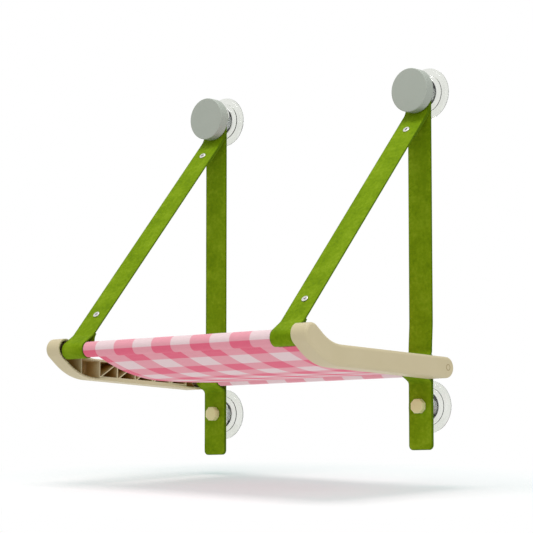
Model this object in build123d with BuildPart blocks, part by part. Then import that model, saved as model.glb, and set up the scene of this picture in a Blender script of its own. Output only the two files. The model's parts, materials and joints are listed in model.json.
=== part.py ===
from build123d import *
from math import acos, asin, atan, atan2, cos, degrees, hypot, pi, radians, sin, sqrt, tan
import os

# Window mounted cat perch: a sling bed hung from a window by four suction cups.
#
# The origin is on the glass, in the middle of the four cups. X runs along the
# rods, -Y points from the glass into the room, +Z is up. Side views are drawn
# as (depth, height): depth is the distance from the glass, height is Z.

os.makedirs("parts", exist_ok=True)

# Cups and their places on the glass
cup_pitch_x = 362.0
cup_pitch_z = 423.0
cup_radius = 35.0
cup_seal_width = 5.0
cup_rim_thickness = 1.5
cup_cavity_depth = 3.0
cup_step_radius = 25.7
cup_skirt_height = 4.2
cup_step_height = 5.8
cup_shoulder_radius = 21.5
cup_shoulder_height = 8.0
cup_neck_radius = 20.5
cup_neck_height = 9.2
cup_hub_radius = 18.0
cup_hub_height = 18.5
cup_hub_rounding = 1.0

# Threaded studs, their moulded-in heads and what screws onto them
stud_radius = 3.0
stud_head_across_flats = 10.0
stud_head_thickness = 4.0
stud_head_depth = 8.0
stud_tip_chamfer = 0.6
thread_clearance = 0.05
moulding_clearance = 0.05
washer_radius = 9.0
washer_thickness = 1.2
washer_hole_clearance = 0.3

# Clamp knobs at the top and eight sided nuts at the bottom
knob_radius = 29.7
knob_thickness = 15.0
knob_edge_rounding = 1.2
knob_wall = 2.8
knob_collar_radius = 12.0
knob_collar_height = 2.4
knob_recess_depth = 11.0
knob_rib_count = 6
knob_rib_thickness = 1.8
knob_rib_setback = 1.5
knob_insert_length = 8.0
nut_radius = 10.2
nut_sides = 8
nut_thickness = 8.2
nut_edge_chamfer = 0.9
nut_insert_length = 5.0
insert_across_flats = 10.0
insert_setback = 0.2
stud_past_insert = 0.5
stud_end_room = 0.5

# Straps
strap_width = 38.0
strap_thickness = 2.0
strap_end_rounding = 6.5
strap_tail = 58.0
strap_hole_clearance = 0.2
strap_layer_gap = 0.2
rod_bulge_above = 19.0
rod_bulge_below = 15.7
rod_bulge_top_bend = 12.0
rod_bulge_bottom_bend = 8.0
backing_above_bulge = 2.0
step_above_bulge = 10.0
step_length = 31.0
wall_strap_step_bend = 60.0

# Hanger straps, from the upper studs down to the front rod
hanger_fold_above_stud = 13.0
hanger_bend_below_stud = 28.2
hanger_bend_radius = 25.0
hanger_offset_from_rod = 4.5
hanger_split_from_rod = 22.0
hanger_split_bend = 15.0
hanger_shoulder_from_rod = 30.0
hanger_tongue_width = 26.0
hanger_upper_tail = 13.0

# Binding screws through the doubled ends of the hanger straps
upper_screw_from_stud = 66.0
lower_screw_from_rod = 61.0
binding_head_radius = 4.8
binding_head_height = 1.5
binding_head_rounding = 0.6
binding_cap_thickness = 1.3
binding_barrel_radius = 2.5
binding_barrel_setback = 0.1
binding_screw_radius = 1.6
binding_screw_end_gap = 0.4
binding_clearance = 0.05
cross_length = 4.6
cross_width = 1.0
cross_depth = 0.9

# Rods of the bed
rod_radius = 9.5
rod_wall = 1.2
rod_strap_clearance = 0.1
front_rod_depth = 301.5
rear_rod_above_lower_cup = 49.2
front_rod_above_rear_rod = 26.6

# Side rails: moulded shells, open on the inner side, with ribs
side_gap = 0.4
rail_width = 32.0
rail_floor = 4.0
rail_wall = 2.8
rail_nose_width = 25.5
rail_half_height = 14.0
rail_elbow_from_rod = 36.5
rail_nose_slope = 36.3
rail_nose_past_rod = 3.9
rail_elbow_radius = 80.0
rail_outer_rounding = 4.6
rib_count = 7
rib_thickness = 1.8
rib_front_inset = 27.5
rib_rear_inset = 31.5
plain_cell_count = 1
brace_thickness = 1.4
ledge_height = 5.2
ledge_width = 3.0
socket_wall = 2.2
socket_recess = 8.0
socket_end_wall = 6.0
socket_clearance = 0.05
rod_end_gap = 0.3

# Screws that hold the rear rod in the rails, under flat caps
plug_length = 16.0
plug_clearance = 0.05
rod_screw_radius = 2.0
rod_screw_length = 18.0
rod_screw_head_radius = 3.9
rod_screw_head_height = 2.2
screw_cap_radius = 4.25
screw_cap_thickness = 1.0
screw_clearance = 0.05

# Sling: one cloth with a sleeve round each rod
cloth_thickness = 0.8
sleeve_clearance = 0.05
sling_left_reach = 146.0
sling_gap = 2.0
sling_low_depth = 172.0
sling_low_below_rear_rod = 10.0
sling_front_seam_angle = 19.0
sling_rear_seam_angle = 53.0

# Runs past a face wherever something is cut away
overrun = 1.0

# Worked out from the sizes above
cup_x = cup_pitch_x / 2
upper_z = cup_pitch_z / 2
lower_z = -cup_pitch_z / 2
strap_hole_radius = stud_radius + strap_hole_clearance
insert_pocket = insert_across_flats / 2 + moulding_clearance
binding_hole_radius = binding_barrel_radius + binding_clearance

wall_strap_depth = cup_hub_height
lower_strap_depth = wall_strap_depth + strap_thickness
hanger_tail_depth = wall_strap_depth + strap_thickness
hanger_depth = hanger_tail_depth + strap_thickness + strap_layer_gap
upper_washer_depth = hanger_depth + strap_thickness
lower_washer_depth = lower_strap_depth + strap_thickness
knob_collar_depth = upper_washer_depth + washer_thickness
knob_back_depth = knob_collar_depth + knob_collar_height
nut_back_depth = lower_washer_depth + washer_thickness
knob_insert_depth = knob_collar_depth + insert_setback
nut_insert_depth = nut_back_depth + insert_setback
upper_stud_tip = knob_insert_depth + knob_insert_length + stud_past_insert
lower_stud_tip = nut_insert_depth + nut_insert_length + stud_past_insert

rod_wrap_radius = rod_radius + rod_strap_clearance
rear_rod_height = lower_z + rear_rod_above_lower_cup
front_rod_height = rear_rod_height + front_rod_above_rear_rod
rear_rod_depth = lower_strap_depth + rod_wrap_radius
front_rod = (front_rod_depth, front_rod_height)
rear_rod = (rear_rod_depth, rear_rod_height)
bulge_top = rear_rod_height + rod_bulge_above

rail_inner_x = cup_x + strap_width / 2 + side_gap
rail_outer_x = rail_inner_x + rail_width
rail_nose_x = rail_inner_x + rail_nose_width
sleeve_half = cup_x - strap_width / 2 - side_gap
sling_right_reach = rail_inner_x - sling_gap
front_rod_half = rail_nose_x - socket_end_wall - rod_end_gap
rear_rod_half = rail_outer_x - socket_end_wall - rod_end_gap
plug_radius = rod_radius - rod_wall - plug_clearance

sides = {"left": -1, "right": 1}


def side_plane(x):
    """Side view at x: across is depth from the glass, up is height, and it extrudes towards -X."""
    return Plane(origin=(x, 0, 0), x_dir=(0, -1, 0), z_dir=(-1, 0, 0))


def wall_plane(x, z, depth):
    """A plane parallel to the glass, centred on (x, z), that extrudes away from the glass."""
    return Plane(origin=(x, -depth, z), x_dir=(1, 0, 0), z_dir=(0, -1, 0))


def turning_plane(x, z):
    """Across is the radius from a stud's axis at (x, z), up is depth from the glass."""
    return Plane(origin=(x, 0, z), x_dir=(1, 0, 0), z_dir=(0, 0, -1))


def stud_axis(x, z):
    """The axis of the stud at (x, z)."""
    return Axis(origin=(x, 0, z), direction=(0, -1, 0))


def save(part, name):
    """Label a finished piece and write it as its own file."""
    part.label = name
    export_step(part, f"parts/{name}.step")


# Suction cups, one behind every stud
def suction_cup(x, z):
    """A clear moulded cup: flat sealing ring, stepped skirt, and a hub that holds the stud's head."""
    seal_inner = cup_radius - cup_seal_width
    with BuildPart() as cup:
        with BuildSketch(turning_plane(x, z)):
            with BuildLine():
                TangentArc((0, cup_cavity_depth), (seal_inner, 0), tangent=(1, 0))
                Polyline(
                    (seal_inner, 0),
                    (cup_radius, 0),
                    (cup_radius, cup_rim_thickness),
                    (cup_step_radius, cup_skirt_height),
                    (cup_step_radius, cup_step_height),
                    (cup_shoulder_radius, cup_shoulder_height),
                    (cup_neck_radius, cup_neck_height),
                    (cup_hub_radius, cup_hub_height - cup_hub_rounding),
                    (cup_hub_radius - cup_hub_rounding, cup_hub_height),
                    (0, cup_hub_height),
                    (0, cup_cavity_depth),
                )
            make_face()
        revolve(axis=stud_axis(x, z))
        with BuildSketch(wall_plane(x, z, stud_head_depth - moulding_clearance)):
            hex_radius = stud_head_across_flats / 2 + moulding_clearance
            RegularPolygon(radius=hex_radius, side_count=6, major_radius=False)
        extrude(amount=stud_head_thickness + 2 * moulding_clearance, mode=Mode.SUBTRACT)
        with BuildSketch(wall_plane(x, z, stud_head_depth)):
            Circle(stud_radius + moulding_clearance)
        extrude(amount=cup_hub_height, mode=Mode.SUBTRACT)
    return cup.part


def stud(x, z, tip_depth):
    """A hexagon headed stud whose head is moulded into the cup."""
    shank_start = stud_head_depth + stud_head_thickness
    with BuildPart() as piece:
        with BuildSketch(wall_plane(x, z, stud_head_depth)):
            RegularPolygon(stud_head_across_flats / 2, side_count=6, major_radius=False)
        extrude(amount=stud_head_thickness)
        with BuildSketch(wall_plane(x, z, shank_start)):
            Circle(stud_radius)
        extrude(amount=tip_depth - shank_start)
        chamfer(piece.edges().sort_by(Axis.Y)[0], length=stud_tip_chamfer)
    return piece.part


def washer(x, z, depth):
    """A flat washer between a strap and the knob or nut that clamps it."""
    with BuildPart() as piece:
        with BuildSketch(wall_plane(x, z, depth)):
            Circle(washer_radius)
            Circle(stud_radius + washer_hole_clearance, mode=Mode.SUBTRACT)
        extrude(amount=washer_thickness)
    return piece.part


def threaded_insert(x, z, depth, length):
    """A hexagonal threaded insert, drawn with a plain bore that clears the stud's thread."""
    with BuildPart() as piece:
        with BuildSketch(wall_plane(x, z, depth)):
            RegularPolygon(insert_across_flats / 2, side_count=6, major_radius=False)
            Circle(stud_radius + thread_clearance, mode=Mode.SUBTRACT)
        extrude(amount=length)
    return piece.part


def knob(x, z):
    """A plain round knob, cored out behind, with a collar and ribs round its insert."""
    recess_floor = knob_back_depth + knob_recess_depth
    with BuildPart() as piece:
        with BuildSketch(wall_plane(x, z, knob_back_depth)):
            Circle(knob_radius)
        extrude(amount=knob_thickness)
        outer_edges = piece.edges().filter_by(GeomType.CIRCLE)
        fillet(outer_edges, radius=knob_edge_rounding)
        with BuildSketch(wall_plane(x, z, knob_back_depth)):
            Circle(knob_radius - knob_wall)
        extrude(amount=knob_recess_depth, mode=Mode.SUBTRACT)
        with BuildSketch(wall_plane(x, z, knob_collar_depth)):
            Circle(knob_collar_radius)
        extrude(amount=recess_floor - knob_collar_depth)
        with BuildSketch(wall_plane(x, z, knob_back_depth + knob_rib_setback)):
            with PolarLocations(0, knob_rib_count):
                rib_run = knob_radius - knob_wall / 2
                Rectangle(rib_run, knob_rib_thickness, align=(Align.MIN, Align.CENTER))
        extrude(amount=knob_recess_depth - knob_rib_setback)
        with BuildSketch(wall_plane(x, z, knob_insert_depth + knob_insert_length)):
            RegularPolygon(insert_pocket, side_count=6, major_radius=False)
        extrude(amount=-knob_insert_length - insert_setback - overrun, mode=Mode.SUBTRACT)
        with BuildSketch(wall_plane(x, z, knob_collar_depth)):
            Circle(strap_hole_radius)
        extrude(amount=upper_stud_tip - knob_collar_depth + stud_end_room, mode=Mode.SUBTRACT)
    return piece.part


def nut(x, z):
    """An eight sided plastic nut with a closed face."""
    with BuildPart() as piece:
        with BuildSketch(wall_plane(x, z, nut_back_depth)):
            RegularPolygon(nut_radius, side_count=nut_sides, rotation=180 / nut_sides)
        extrude(amount=nut_thickness)
        chamfer(piece.faces().sort_by(Axis.Y)[0].edges(), length=nut_edge_chamfer)
        with BuildSketch(wall_plane(x, z, nut_insert_depth + nut_insert_length)):
            RegularPolygon(insert_pocket, side_count=6, major_radius=False)
        extrude(amount=-nut_insert_length - insert_setback - overrun, mode=Mode.SUBTRACT)
        with BuildSketch(wall_plane(x, z, nut_back_depth)):
            Circle(strap_hole_radius)
        extrude(amount=lower_stud_tip - nut_back_depth + stud_end_room, mode=Mode.SUBTRACT)
    return piece.part


for side, sign in sides.items():
    x = sign * cup_x
    for level, z, tip, washer_depth in (
        ("upper", upper_z, upper_stud_tip, upper_washer_depth),
        ("lower", lower_z, lower_stud_tip, lower_washer_depth),
    ):
        save(suction_cup(x, z), f"{level}_{side}_cup")
        save(stud(x, z, tip), f"{level}_{side}_stud")
        save(washer(x, z, washer_depth), f"{level}_{side}_washer")
    knob_insert = threaded_insert(x, upper_z, knob_insert_depth, knob_insert_length)
    nut_insert = threaded_insert(x, lower_z, nut_insert_depth, nut_insert_length)
    save(knob(x, upper_z), f"upper_{side}_knob")
    save(knob_insert, f"upper_{side}_knob_insert")
    save(nut(x, lower_z), f"lower_{side}_nut")
    save(nut_insert, f"lower_{side}_nut_insert")


# Straps: strips of coated webbing, each swept along its inner face
def strap_section(route):
    """The plane across a strap at the start of its route, with the thickness away from the route."""
    return Plane(origin=route @ 0, x_dir=(1, 0, 0), z_dir=route % 0)


def wall_strap_route():
    """Down the wall, one step out to clear the backing, then round the front of the rear rod."""
    above = 2 * atan(rod_wrap_radius / rod_bulge_above)
    below = 2 * atan(rod_wrap_radius / rod_bulge_below)
    run = (rod_bulge_above + rod_bulge_below) * sin(below) / sin(above + below)
    step_bottom = bulge_top + step_above_bulge
    corners = [
        (wall_strap_depth, upper_z + strap_width / 2),
        (wall_strap_depth, step_bottom + step_length),
        (lower_strap_depth, step_bottom),
        (lower_strap_depth, bulge_top),
        (lower_strap_depth + run * sin(above), bulge_top - run * cos(above)),
        (lower_strap_depth, rear_rod_height - rod_bulge_below),
        (lower_strap_depth, lower_z - strap_tail),
    ]
    bends = [
        wall_strap_step_bend,
        wall_strap_step_bend,
        rod_bulge_top_bend,
        rod_wrap_radius,
        rod_bulge_bottom_bend,
    ]
    return FilletPolyline(*corners, radius=bends)


def wall_strap(x):
    """The upright strap: round at the top behind the knob, bulged round the rear rod, cut off below."""
    bottom = lower_z - strap_tail
    with BuildPart() as strap:
        with BuildLine(side_plane(x)) as route:
            add(wall_strap_route())
        with BuildSketch(strap_section(route.line)):
            Rectangle(strap_width, strap_thickness, align=(Align.CENTER, Align.MIN))
        sweep()
        with BuildSketch(wall_plane(x, 0, 0)) as outline:
            with Locations((0, bottom)):
                length = upper_z + strap_width / 2 - bottom
                Rectangle(strap_width, length, align=(Align.CENTER, Align.MIN))
            corners = outline.vertices().group_by(Axis.Y)
            fillet(corners[0], radius=strap_end_rounding)
            with Locations((0, upper_z)):
                Rectangle(strap_width, strap_width, align=(Align.CENTER, Align.MIN), mode=Mode.SUBTRACT)
                Circle(strap_width / 2)
        extrude(amount=rear_rod_depth + strap_width, mode=Mode.INTERSECT)
        with BuildSketch(wall_plane(x, 0, 0)):
            with Locations((0, upper_z), (0, lower_z)):
                Circle(strap_hole_radius)
        extrude(amount=rear_rod_depth, mode=Mode.SUBTRACT)
    return strap.part


def strap_backing(x):
    """The second layer behind the rear rod, clamped with the wall strap by the lower nut."""
    bottom = lower_z - strap_tail
    with BuildPart() as backing:
        with BuildSketch(wall_plane(x, 0, wall_strap_depth)) as outline:
            with Locations((0, bottom)):
                length = bulge_top + backing_above_bulge - bottom
                Rectangle(strap_width, length, align=(Align.CENTER, Align.MIN))
            fillet(outline.vertices(), radius=strap_end_rounding)
            with Locations((0, lower_z)):
                Circle(strap_hole_radius, mode=Mode.SUBTRACT)
        extrude(amount=strap_thickness)
    return backing.part


# Hanger strap: its inner face, seen from the side, passes the front rod's axis at a set offset
hanger_corner = (hanger_depth, upper_z - hanger_bend_below_stud)
corner_ahead = front_rod_depth - hanger_corner[0]
corner_above = hanger_corner[1] - front_rod_height
hanger_slope = atan2(corner_above, corner_ahead)
hanger_slope -= asin(hanger_offset_from_rod / hypot(corner_ahead, corner_above))
hanger_run = sqrt(corner_ahead**2 + corner_above**2 - hanger_offset_from_rod**2)
hanger_tail_offset = hanger_offset_from_rod - strap_layer_gap
upper_screw_from_rod = hanger_run - (upper_screw_from_stud - hanger_bend_below_stud)


def beside_rod(up, out):
    """A side view point: this far up the hanger strap from the front rod, and out from it."""
    return (
        front_rod_depth - up * cos(hanger_slope) + out * sin(hanger_slope),
        front_rod_height + up * sin(hanger_slope) + out * cos(hanger_slope),
    )


def hanger_plane(x, up, out):
    """A plane parallel to the hanger strap: its Y runs up the strap and it extrudes outwards."""
    depth, height = beside_rod(up, out)
    normal = (0, -sin(hanger_slope), cos(hanger_slope))
    return Plane(origin=(x, -depth, height), x_dir=(1, 0, 0), z_dir=normal)


def rod_contact(offset, turn):
    """The angle at which a layer at this offset meets the circle round the rod."""
    distance = hypot(hanger_split_from_rod, offset)
    towards_split = pi - hanger_slope - atan2(offset, hanger_split_from_rod)
    return degrees(towards_split + turn * acos(rod_wrap_radius / distance))


def on_wrap(angle):
    """A side view point on the circle that the strap follows round the front rod."""
    return (
        front_rod_depth + rod_wrap_radius * cos(radians(angle)),
        front_rod_height + rod_wrap_radius * sin(radians(angle)),
    )


def hanger_strap(x):
    """Folded over at the stud, down to the front rod, round it, and back up as a narrow tongue."""
    fold_height = upper_z + hanger_fold_above_stud
    tail_face = hanger_depth - strap_layer_gap
    tail_drop = strap_layer_gap * (1 - sin(hanger_slope)) / cos(hanger_slope)
    tail_corner = (tail_face, hanger_corner[1] - tail_drop)
    start_angle = rod_contact(hanger_offset_from_rod, -1)
    end_angle = rod_contact(hanger_tail_offset, 1)
    with BuildPart() as strap:
        with BuildLine(side_plane(x)) as route:
            FilletPolyline(
                beside_rod(upper_screw_from_rod - hanger_upper_tail, hanger_tail_offset),
                tail_corner,
                (tail_face, fold_height),
                radius=hanger_bend_radius + strap_layer_gap,
            )
            ThreePointArc(
                (tail_face, fold_height),
                (hanger_depth - strap_layer_gap / 2, fold_height + strap_layer_gap / 2),
                (hanger_depth, fold_height),
            )
            FilletPolyline(
                (hanger_depth, fold_height),
                hanger_corner,
                beside_rod(hanger_split_from_rod, hanger_offset_from_rod),
                on_wrap(start_angle),
                radius=[hanger_bend_radius, hanger_split_bend],
            )
            CenterArc(front_rod, rod_wrap_radius, start_angle, end_angle - start_angle - 360)
            FilletPolyline(
                on_wrap(end_angle),
                beside_rod(hanger_split_from_rod, hanger_tail_offset),
                beside_rod(hanger_shoulder_from_rod, hanger_tail_offset),
                radius=hanger_split_bend,
            )
        with BuildSketch(strap_section(route.line)):
            Rectangle(strap_width, strap_thickness, align=(Align.CENTER, Align.MIN))
        sweep()
        with BuildSketch(hanger_plane(x, lower_screw_from_rod, hanger_tail_offset)):
            Circle(hanger_tongue_width / 2)
            tongue_length = lower_screw_from_rod - hanger_shoulder_from_rod + strap_thickness
            Rectangle(hanger_tongue_width, tongue_length, align=(Align.CENTER, Align.MAX))
        extrude(amount=-strap_thickness)
        with BuildSketch(wall_plane(x, upper_z, wall_strap_depth)):
            Circle(strap_hole_radius)
        extrude(amount=hanger_depth, mode=Mode.SUBTRACT)
        for up in (lower_screw_from_rod, upper_screw_from_rod):
            with BuildSketch(hanger_plane(x, up, hanger_offset_from_rod)):
                Circle(binding_hole_radius)
            extrude(amount=2 * strap_thickness, both=True, mode=Mode.SUBTRACT)
    return strap.part


def cross_recess():
    """The two slots of a cross head, in the open sketch."""
    Rectangle(cross_length, cross_width)
    Rectangle(cross_width, cross_length)


def binding_screw(x, up):
    """A round headed screw whose short shank turns into the post behind the strap."""
    front_face = hanger_offset_from_rod + strap_thickness
    back_face = hanger_tail_offset - strap_thickness
    with BuildPart() as screw:
        with BuildSketch(hanger_plane(x, up, front_face)):
            Circle(binding_head_radius)
        extrude(amount=binding_head_height)
        fillet(screw.edges().filter_by(GeomType.CIRCLE).sort_by(Axis.Z)[-1], radius=binding_head_rounding)
        with BuildSketch(hanger_plane(x, up, front_face + binding_head_height)):
            cross_recess()
        extrude(amount=-cross_depth, mode=Mode.SUBTRACT)
        with BuildSketch(hanger_plane(x, up, front_face)):
            Circle(binding_screw_radius)
        extrude(amount=back_face - front_face + binding_screw_end_gap)
    return screw.part


def binding_post(x, up):
    """The cap behind the strap, with a tapped barrel that passes through both layers."""
    front_face = hanger_offset_from_rod + strap_thickness
    back_face = hanger_tail_offset - strap_thickness
    with BuildPart() as post:
        with BuildSketch(hanger_plane(x, up, back_face)):
            Circle(binding_head_radius)
        extrude(amount=-binding_cap_thickness)
        with BuildSketch(hanger_plane(x, up, back_face)):
            Circle(binding_barrel_radius)
        extrude(amount=front_face - back_face - binding_barrel_setback)
        with BuildSketch(hanger_plane(x, up, back_face)):
            Circle(binding_screw_radius + binding_clearance)
        extrude(amount=front_face - back_face, mode=Mode.SUBTRACT)
    return post.part


for side, sign in sides.items():
    x = sign * cup_x
    save(wall_strap(x), f"{side}_vertical_strap")
    save(strap_backing(x), f"{side}_strap_backing")
    save(hanger_strap(x), f"{side}_diagonal_strap")
    for level, up in (("upper", upper_screw_from_rod), ("lower", lower_screw_from_rod)):
        save(binding_screw(x, up), f"{level}_{side}_binding_screw")
        save(binding_post(x, up), f"{level}_{side}_binding_post")


# Side rails: the outer face is slanted, which makes the front end narrower than the heel
def rail_face(inset):
    """The plane of the right rail's outer face, or one parallel to it this far inside."""
    taper = atan2(rail_width - rail_nose_width, front_rod_depth - rear_rod_depth)
    return Plane(
        origin=(rail_outer_x - inset, -rear_rod_depth, 0),
        x_dir=(0, 0, 1),
        z_dir=(cos(taper), -sin(taper), 0),
    )


def rail_layer(outline, inset):
    """A side view outline, drawn out from the inner side to the outer face or this far inside it."""
    with BuildPart() as layer:
        with BuildSketch(side_plane(rail_inner_x)):
            add(outline)
        extrude(amount=-2 * rail_width)
        split(bisect_by=rail_face(inset), keep=Keep.BOTTOM)
    return layer.part


def along_nose(distance):
    """A side view point this far ahead of the front rod along the rail's sloping front end."""
    slope = radians(rail_nose_slope)
    return (front_rod_depth + distance * cos(slope), front_rod_height + distance * sin(slope))


rail_elbow = along_nose(-rail_elbow_from_rod)
rail_tilt = atan2(rail_elbow[1] - rear_rod_height, rail_elbow[0] - rear_rod_depth)
first_rib = front_rod_depth - rib_front_inset
rib_pitch = (first_rib - rear_rod_depth - rib_rear_inset) / (rib_count - 1)
rib_depths = [first_rib - i * rib_pitch for i in range(rib_count)]


def rail_height(depth):
    """The height of the rail's middle line at this depth, on its straight run."""
    return rear_rod_height + (depth - rear_rod_depth) * tan(rail_tilt)


with BuildSketch() as rail_outline:
    with BuildLine() as rail_spine:
        FilletPolyline(
            along_nose(rail_nose_past_rod), rail_elbow, rear_rod, radius=rail_elbow_radius
        )
    SlotArc(rail_spine.wire(), 2 * rail_half_height)

with BuildSketch() as rail_pocket:
    add(rail_outline.sketch)
    offset(amount=-rail_wall, mode=Mode.REPLACE)

with BuildSketch() as rib_limit:
    add(rail_outline.sketch)
    offset(amount=-rail_wall / 2, mode=Mode.REPLACE)

with BuildSketch() as rail_ribs:
    for depth in rib_depths:
        with Locations((depth, rail_height(depth))):
            Rectangle(rib_thickness, 4 * rail_half_height)
    inner_height = 2 * (rail_half_height - rail_wall)
    for depth in rib_depths[1 + plain_cell_count :]:
        middle = depth + rib_pitch / 2
        brace_turn = degrees(rail_tilt - atan2(inner_height, rib_pitch))
        with Locations((middle, rail_height(middle))):
            Rectangle(hypot(inner_height, rib_pitch), brace_thickness, rotation=brace_turn)
    add(rib_limit.sketch, mode=Mode.INTERSECT)

rail_body = rail_layer(rail_outline.sketch, 0)
rail_hollow = rail_layer(rail_pocket.sketch, rail_floor)
rail_grid = rail_layer(rail_ribs.sketch, rail_floor / 2)

with BuildPart() as rail:
    add(rail_body)
    fillet(rail.faces().sort_by(Axis.X)[-1].edges(), radius=rail_outer_rounding)
    add(rail_hollow, mode=Mode.SUBTRACT)
    add(rail_grid)
    with BuildSketch(side_plane(rail_inner_x + ledge_width)):
        ledge_middle = (rib_depths[plain_cell_count] + rib_depths[-1]) / 2
        ledge_length = rib_depths[plain_cell_count] - rib_depths[-1]
        with Locations((ledge_middle, rail_height(ledge_middle) - rail_half_height)):
            Rectangle(ledge_length, 2 * ledge_height, rotation=degrees(rail_tilt))
        add(rib_limit.sketch, mode=Mode.INTERSECT)
    extrude(amount=ledge_width)
    for place, face_x in ((front_rod, rail_nose_x), (rear_rod, rail_outer_x)):
        with BuildSketch(side_plane(face_x - rail_floor / 2)):
            with Locations(place):
                Circle(rod_radius + socket_wall)
        extrude(amount=face_x - rail_floor / 2 - rail_inner_x - socket_recess)
        with BuildSketch(side_plane(face_x - socket_end_wall)):
            with Locations(place):
                Circle(rod_radius + socket_clearance)
        extrude(amount=rail_width, mode=Mode.SUBTRACT)
    with BuildSketch(side_plane(rail_outer_x + overrun)):
        with Locations(rear_rod):
            Circle(screw_cap_radius + screw_clearance)
    extrude(amount=screw_cap_thickness + overrun, mode=Mode.SUBTRACT)
    with BuildSketch(side_plane(rail_outer_x - screw_cap_thickness)):
        with Locations(rear_rod):
            Circle(rod_screw_head_radius + screw_clearance)
    extrude(amount=rod_screw_head_height, mode=Mode.SUBTRACT)
    with BuildSketch(side_plane(rail_outer_x)):
        with Locations(rear_rod):
            Circle(rod_screw_radius + screw_clearance)
    extrude(amount=rail_width, mode=Mode.SUBTRACT)

# What holds the rear rod: a plug in each end, a screw through the rail, and a cap over its head
with BuildPart() as screw_cap:
    with BuildSketch(side_plane(rail_outer_x)):
        with Locations(rear_rod):
            Circle(screw_cap_radius)
    extrude(amount=screw_cap_thickness)

with BuildPart() as rod_screw:
    with BuildSketch(side_plane(rail_outer_x - screw_cap_thickness)):
        with Locations(rear_rod):
            Circle(rod_screw_head_radius)
    extrude(amount=rod_screw_head_height)
    with BuildSketch(side_plane(rail_outer_x - screw_cap_thickness)):
        with Locations(rear_rod):
            cross_recess()
    extrude(amount=cross_depth, mode=Mode.SUBTRACT)
    with BuildSketch(side_plane(rail_outer_x - screw_cap_thickness - rod_screw_head_height)):
        with Locations(rear_rod):
            Circle(rod_screw_radius)
    extrude(amount=rod_screw_length)

with BuildPart() as rod_plug:
    with BuildSketch(side_plane(rear_rod_half)):
        with Locations(rear_rod):
            Circle(plug_radius)
            Circle(rod_screw_radius + screw_clearance, mode=Mode.SUBTRACT)
    extrude(amount=plug_length)

for piece, name in (
    (rail, "side_rail"),
    (screw_cap, "screw_cap"),
    (rod_screw, "rod_screw"),
    (rod_plug, "rod_plug"),
):
    with BuildPart() as opposite:
        mirror(piece.part, about=Plane.YZ)
    save(piece.part, f"right_{name}")
    save(opposite.part, f"left_{name}")


# Rods: plain steel tubes between the sockets of the rails
for name, place, half_length in (
    ("front_rod", front_rod, front_rod_half),
    ("rear_rod", rear_rod, rear_rod_half),
):
    with BuildPart() as rod:
        with BuildSketch(side_plane(half_length)):
            with Locations(place):
                Circle(rod_radius)
                Circle(rod_radius - rod_wall, mode=Mode.SUBTRACT)
        extrude(amount=2 * half_length)
    save(rod.part, name)


# Sling: the panel sags between its seams, which lie on the undersides of the sleeves. It hangs
# off centre: its right side passes the straps, where it is cut out round them, and nearly
# reaches the rail.
sleeve_inner_radius = rod_radius + sleeve_clearance
sleeve_outer_radius = sleeve_inner_radius + cloth_thickness
seam_radius = sleeve_inner_radius + cloth_thickness / 2


def seam_point(place, angle):
    """A side view point in a sleeve's wall, turned from its lowest point towards the front."""
    return (
        place[0] + seam_radius * sin(radians(angle)),
        place[1] - seam_radius * cos(radians(angle)),
    )


def raised(point, height):
    """The same side view point, this much higher."""
    return (point[0], point[1] + height)


with BuildPart() as sling:
    front_seam = seam_point(front_rod, -sling_front_seam_angle)
    rear_seam = seam_point(rear_rod, sling_rear_seam_angle)
    low_point = (sling_low_depth, rear_rod_height - sling_low_below_rear_rod)
    with BuildSketch(side_plane(sling_right_reach)):
        with BuildLine():
            for lift in (0, cloth_thickness):
                TangentArc(raised(low_point, lift), raised(front_seam, lift), tangent=(1, 0))
                TangentArc(raised(low_point, lift), raised(rear_seam, lift), tangent=(-1, 0))
            for seam in (front_seam, rear_seam):
                Line(seam, raised(seam, cloth_thickness))
        make_face()
    extrude(amount=sling_left_reach + sling_right_reach)
    with BuildSketch(side_plane(sling_right_reach)):
        with Locations(front_rod, rear_rod):
            Circle(rod_wrap_radius + strap_thickness + sling_gap)
    extrude(amount=sling_right_reach - sleeve_half, mode=Mode.SUBTRACT)
    with BuildSketch(side_plane(sleeve_half)):
        with Locations(front_rod, rear_rod):
            Circle(sleeve_outer_radius)
    extrude(amount=2 * sleeve_half)
    with BuildSketch(side_plane(sleeve_half)):
        with Locations(front_rod, rear_rod):
            Circle(sleeve_inner_radius)
    extrude(amount=2 * sleeve_half, mode=Mode.SUBTRACT)
save(sling.part, "sling")
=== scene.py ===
# %% [markdown]
# # A cat perch that hangs in a window
#
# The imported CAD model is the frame: it fixes where every rod, rail, strap and stud lies, and which of
# them move. This lesson dresses it. Hard pieces keep their CAD shape and get a finish. Straps, cloth
# and suction cups are made again as smooth surfaces in the same places.

# %% Load the frame
import json
import math

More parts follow.
